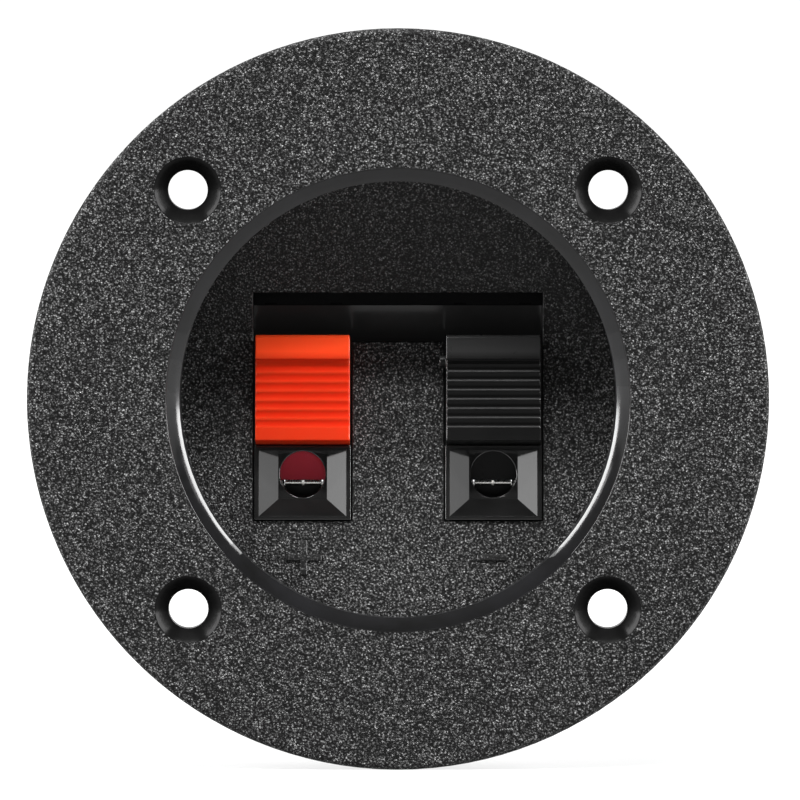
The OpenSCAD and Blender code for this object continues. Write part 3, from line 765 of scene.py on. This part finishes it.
bpy.ops.object.select_all(action="DESELECT")
bpy.ops.mesh.primitive_grid_add(
    x_subdivisions=FLOOR_CELLS, y_subdivisions=FLOOR_CELLS, size=FLOOR_SIZE, location=(0, 0, cad_low.z))
floor = bpy.context.object
floor.name = "studio_floor"
bpy.ops.object.mode_set(mode="EDIT")
bpy.ops.mesh.select_mode(type="EDGE")
bpy.ops.mesh.select_all(action="DESELECT")
bpy.ops.mesh.select_non_manifold()
bpy.ops.mesh.extrude_region_move(TRANSFORM_OT_translate={"value": (0, 0, BACKDROP_RISE)})
bpy.ops.object.mode_set(mode="OBJECT")
floor_look, tree, shader, place = new_material("pale_floor")
shader.inputs["Base Color"].default_value = (*grey(0.2), 1)
shader.inputs["Roughness"].default_value = 0.9
shader.inputs["Specular IOR Level"].default_value = 0.0
from_middle = new_node(tree, "ShaderNodeVectorMath", {"operation": "LENGTH"})
tree.links.new(place, from_middle.inputs[0])
white = new_node(tree, "ShaderNodeEmission")
glow = remap(tree, from_middle.outputs["Value"], SHADOW_R, WHITE_R, *FLOOR_GLOW)
tree.links.new(glow, white.inputs["Strength"])
shown = tree.nodes.new("ShaderNodeAddShader")
tree.links.new(white.outputs["Emission"], shown.inputs[0])
tree.links.new(shader.outputs["BSDF"], shown.inputs[1])
rays = tree.nodes.new("ShaderNodeLightPath")
seen = combine(tree, "MAXIMUM", rays.outputs["Is Camera Ray"], rays.outputs["Is Glossy Ray"])
seen = combine(tree, "MAXIMUM", seen, rays.outputs["Is Transmission Ray"])
mixed = tree.nodes.new("ShaderNodeMixShader")
tree.links.new(seen, mixed.inputs["Fac"])
tree.links.new(shader.outputs["BSDF"], mixed.inputs[1])
tree.links.new(shown.outputs["Shader"], mixed.inputs[2])
tree.links.new(mixed.outputs["Shader"], tree.nodes["Material Output"].inputs["Surface"])
add_finish(floor, floor_look)


def studio_lamp(name, around, off_axis, size, watts):
    """A lamp placed by its angles around and off the part's axis; its size is along and across that circle."""
    data = bpy.data.lights.new(name, "AREA")
    data.shape = "RECTANGLE"
    data.size, data.size_y = size
    data.energy = watts
    lamp = bpy.data.objects.new(name, data)
    aside = math.sin(math.radians(off_axis))
    turn = math.radians(around)
    way = Vector((aside * math.cos(turn), -math.cos(math.radians(off_axis)), aside * math.sin(turn)))
    along = Vector((-math.sin(turn), 0, math.cos(turn)))
    lamp.location = way * LAMP_DISTANCE
    lamp.rotation_euler = Matrix((along, way.cross(along), way)).transposed().to_euler()
    bpy.context.scene.collection.objects.link(lamp)
    return lamp


studio_lamp("top_light", around=90, off_axis=70, size=(0.9, 0.07), watts=19.5)
studio_lamp("fill_left", around=161.5, off_axis=64.5, size=(0.18, 0.18), watts=0.5)
studio_lamp("fill_right", around=18.5, off_axis=64.5, size=(0.18, 0.18), watts=0.24)
studio_lamp("side_left", around=157, off_axis=79, size=(1.1, 0.34), watts=28.0)
studio_lamp("side_right", around=17, off_axis=79, size=(1.1, 0.34), watts=28.0)
studio_lamp("back_light", around=90, off_axis=125, size=(0.8, 0.4), watts=6.0)
# The front lamp reaches the feet deep in the wire holes and isn't mirrored by the part.
front_fill = studio_lamp("front_fill", around=90, off_axis=6, size=(0.12, 0.12), watts=1.1)
front_fill.visible_glossy = False

world = bpy.data.worlds.new("studio_room")
world.use_nodes = True
world.node_tree.nodes["Background"].inputs["Color"].default_value = (1, 1, 1, 1)
world.node_tree.nodes["Background"].inputs["Strength"].default_value = ROOM_LIGHT
bpy.context.scene.world = world

camera_data = bpy.data.cameras.new("camera")
camera_data.sensor_width = SENSOR_WIDTH
camera_data.lens = camera_data.sensor_width * CAMERA_DISTANCE / FIELD_WIDTH
camera_data.clip_start, camera_data.clip_end = CAMERA_REACH
camera = bpy.data.objects.new("camera", camera_data)
back = Vector((0, -math.cos(CAMERA_RISE), math.sin(CAMERA_RISE)))
camera.location = CAMERA_AIM + back * CAMERA_DISTANCE
camera.rotation_euler = (-back).to_track_quat("-Z", "Y").to_euler()
bpy.context.scene.collection.objects.link(camera)
bpy.context.scene.camera = camera
bpy.context.scene.view_settings.view_transform = "Standard"
